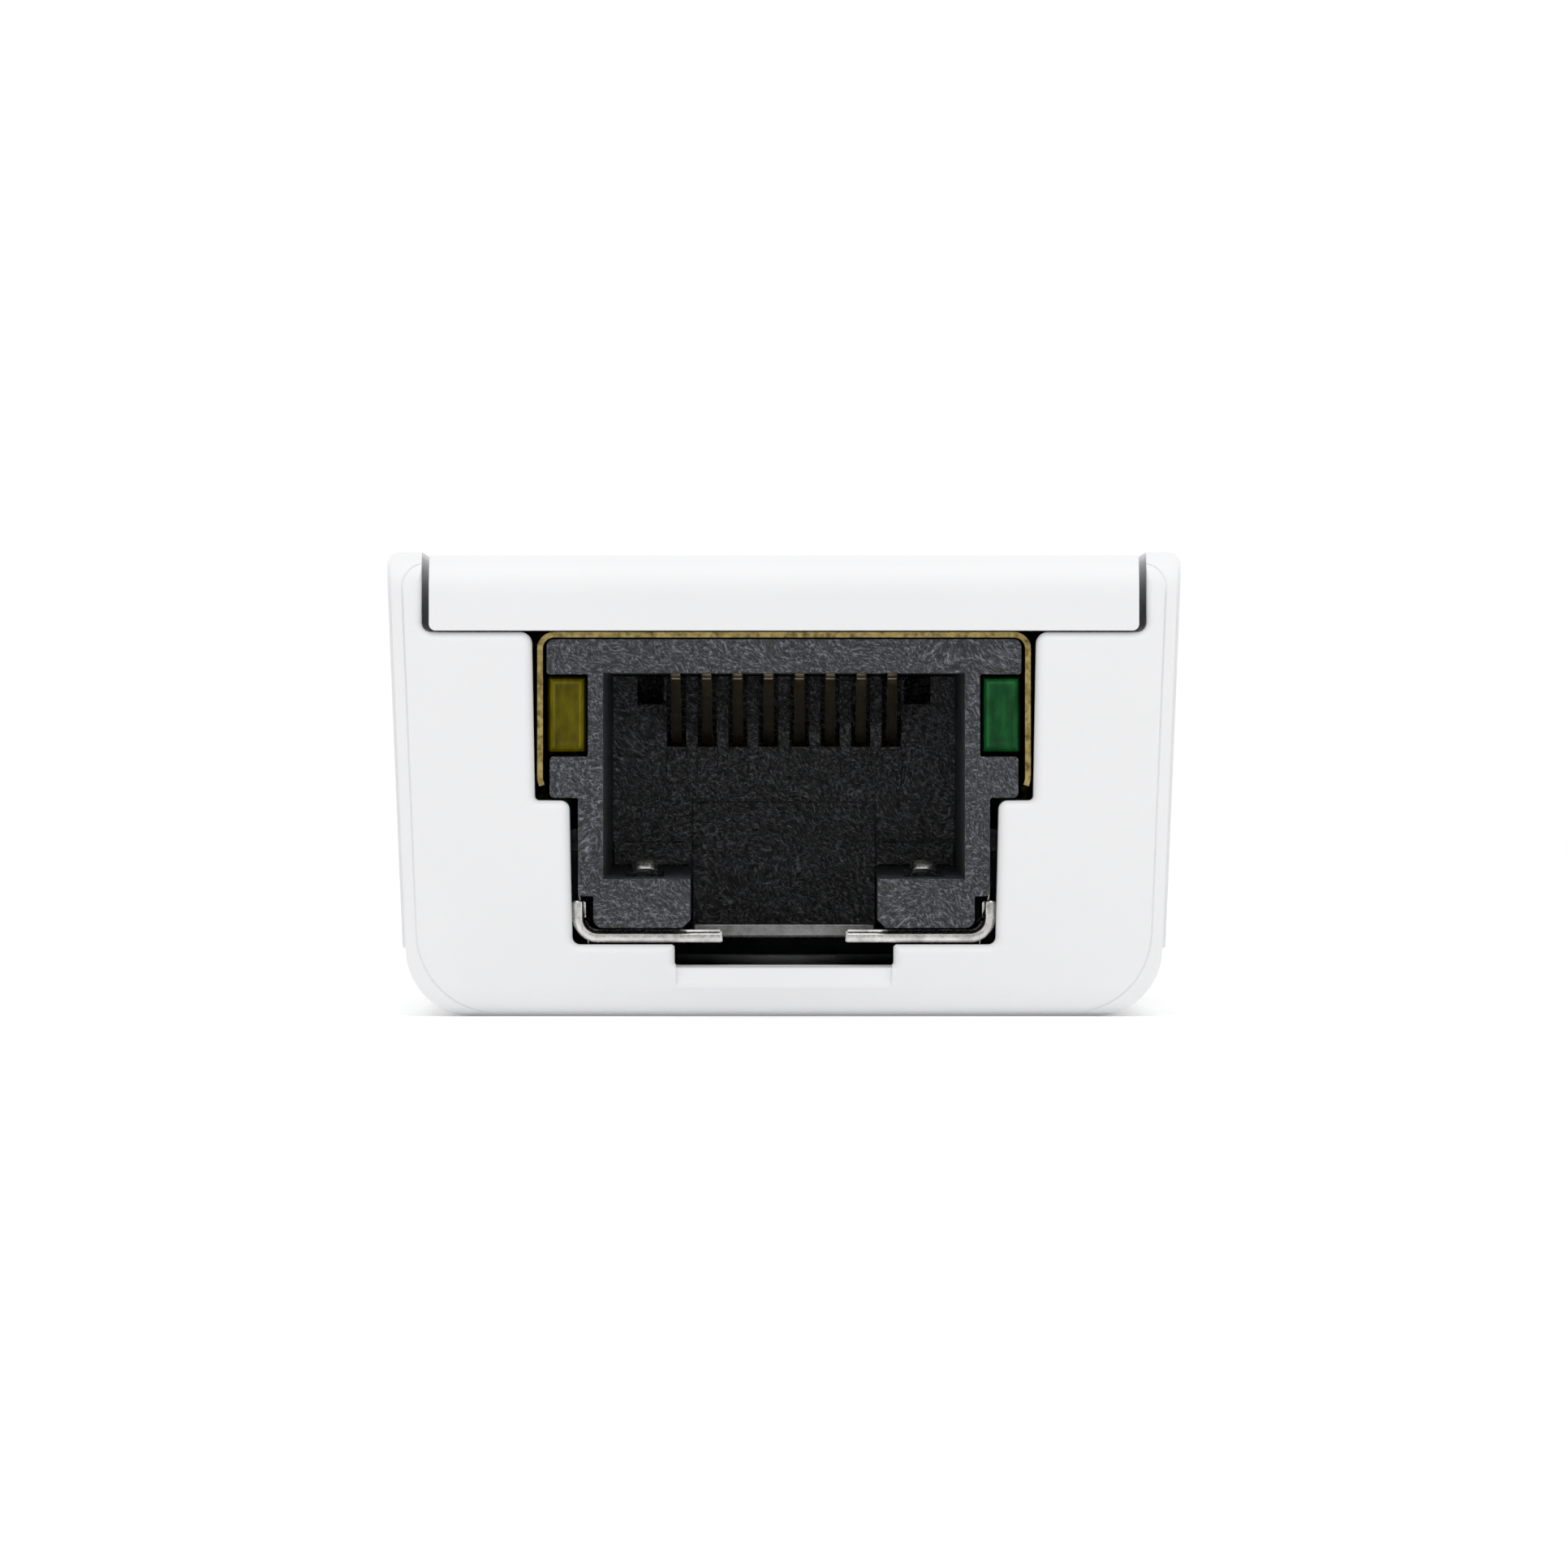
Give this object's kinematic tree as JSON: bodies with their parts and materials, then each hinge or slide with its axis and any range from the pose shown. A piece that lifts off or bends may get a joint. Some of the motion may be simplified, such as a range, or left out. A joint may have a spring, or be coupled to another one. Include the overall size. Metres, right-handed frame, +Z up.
{
  "type": "usb network adapter",
  "caption": "Pocket USB network adapter: white two-piece case with an inset lid, an RJ45 socket with two indicator LEDs at one end and a cable gland at the other.",
  "frame": {"origin": "centre of the bounding box's underside: the case's flat base, midway between the socket face and the gland's end", "axes": "+Y from the socket face towards the gland, +X to the right when looking into the socket, +Z up"},
  "size_m": [0.0258, 0.0676, 0.0151],
  "materials": {
    "white_shell": "fine matte moulded white plastic",
    "white_gland": "soft white moulded plastic",
    "black_housing": "glass-filled black plastic with fine swirled fibres",
    "brass_sheet": "sheared brass-coloured shield edge",
    "nickel_sheet": "bright nickel plate",
    "gold_contact": "gold-plated wire",
    "tin_lead": "tinned metal",
    "yellow_lens": "clear yellow LED lens, unlit",
    "green_lens": "clear green LED lens, unlit",
    "circuit_board": "green solder mask over glass epoxy",
    "chip_black": "matte black chip package with tinned leads",
    "ceramic_tan": "ceramic chip capacitor with tinned caps",
    "resistor_black": "chip resistor with tinned caps",
    "ferrite_grey": "moulded ferrite inductor"
  },
  "bodies": {
    "adapter": {"bottom_tray": "white_shell", "top_cover": "white_shell", "cable_gland": "white_gland", "jack_housing": "black_housing", "contact_carrier": "black_housing", "contact_tail_1": "gold_contact", "contact_tail_2": "gold_contact", "contact_tail_3": "gold_contact", "contact_tail_4": "gold_contact", "contact_tail_5": "gold_contact", "contact_tail_6": "gold_contact", "contact_tail_7": "gold_contact", "contact_tail_8": "gold_contact", "upper_shield": "brass_sheet", "lower_shield": "nickel_sheet", "yellow_led": "yellow_lens", "yellow_led_lead_long": "tin_lead", "yellow_led_lead_short": "tin_lead", "green_led": "green_lens", "green_led_lead_long": "tin_lead", "green_led_lead_short": "tin_lead", "main_board": "circuit_board", "lan_transformer": "chip_black", "ethernet_controller": "chip_black", "eeprom_chip": "chip_black", "voltage_regulator": "chip_black", "esd_protector": "chip_black", "clock_crystal": "tin_lead", "power_inductor": "ferrite_grey", "input_capacitor": "ceramic_tan", "output_capacitor": "ceramic_tan", "isolation_capacitor": "ceramic_tan", "decoupling_capacitor_1": "ceramic_tan", "decoupling_capacitor_2": "ceramic_tan", "decoupling_capacitor_3": "ceramic_tan", "decoupling_capacitor_4": "ceramic_tan", "resettable_fuse": "resistor_black", "termination_resistor_1": "resistor_black", "termination_resistor_2": "resistor_black", "termination_resistor_3": "resistor_black", "termination_resistor_4": "resistor_black"},
    "contact_1": {"contact_spring_1": "gold_contact"},
    "contact_2": {"contact_spring_2": "gold_contact"},
    "contact_3": {"contact_spring_3": "gold_contact"},
    "contact_4": {"contact_spring_4": "gold_contact"},
    "contact_5": {"contact_spring_5": "gold_contact"},
    "contact_6": {"contact_spring_6": "gold_contact"},
    "contact_7": {"contact_spring_7": "gold_contact"},
    "contact_8": {"contact_spring_8": "gold_contact"},
    "ground_left": {"ground_spring_left": "nickel_sheet"},
    "ground_right": {"ground_spring_right": "nickel_sheet"}
  },
  "joints": [
    {"name": "contact_1_lift", "type": "hinge", "parent": "adapter", "child": "contact_1", "pos_m": [-0.00356, -0.02883, 0.01107], "axis": [1, 0, 0], "range_deg": [0, 12], "stiffness_Nm_per_rad": 0.05},
    {"name": "contact_2_lift", "type": "hinge", "parent": "adapter", "child": "contact_2", "pos_m": [-0.00254, -0.02883, 0.01107], "axis": [1, 0, 0], "range_deg": [0, 12], "stiffness_Nm_per_rad": 0.05},
    {"name": "contact_3_lift", "type": "hinge", "parent": "adapter", "child": "contact_3", "pos_m": [-0.00152, -0.02883, 0.01107], "axis": [1, 0, 0], "range_deg": [0, 12], "stiffness_Nm_per_rad": 0.05},
    {"name": "contact_4_lift", "type": "hinge", "parent": "adapter", "child": "contact_4", "pos_m": [-0.00051, -0.02883, 0.01107], "axis": [1, 0, 0], "range_deg": [0, 12], "stiffness_Nm_per_rad": 0.05},
    {"name": "contact_5_lift", "type": "hinge", "parent": "adapter", "child": "contact_5", "pos_m": [0.00051, -0.02883, 0.01107], "axis": [1, 0, 0], "range_deg": [0, 12], "stiffness_Nm_per_rad": 0.05},
    {"name": "contact_6_lift", "type": "hinge", "parent": "adapter", "child": "contact_6", "pos_m": [0.00152, -0.02883, 0.01107], "axis": [1, 0, 0], "range_deg": [0, 12], "stiffness_Nm_per_rad": 0.05},
    {"name": "contact_7_lift", "type": "hinge", "parent": "adapter", "child": "contact_7", "pos_m": [0.00254, -0.02883, 0.01107], "axis": [1, 0, 0], "range_deg": [0, 12], "stiffness_Nm_per_rad": 0.05},
    {"name": "contact_8_lift", "type": "hinge", "parent": "adapter", "child": "contact_8", "pos_m": [0.00356, -0.02883, 0.01107], "axis": [1, 0, 0], "range_deg": [0, 12], "stiffness_Nm_per_rad": 0.05},
    {"name": "ground_left_press", "type": "hinge", "parent": "adapter", "child": "ground_left", "pos_m": [-0.00455, -0.0261, 0.00266], "axis": [1, 0, 0], "range_deg": [0, 8], "stiffness_Nm_per_rad": 0.08},
    {"name": "ground_right_press", "type": "hinge", "parent": "adapter", "child": "ground_right", "pos_m": [0.00455, -0.0261, 0.00266], "axis": [1, 0, 0], "range_deg": [0, 8], "stiffness_Nm_per_rad": 0.08}
  ]
}
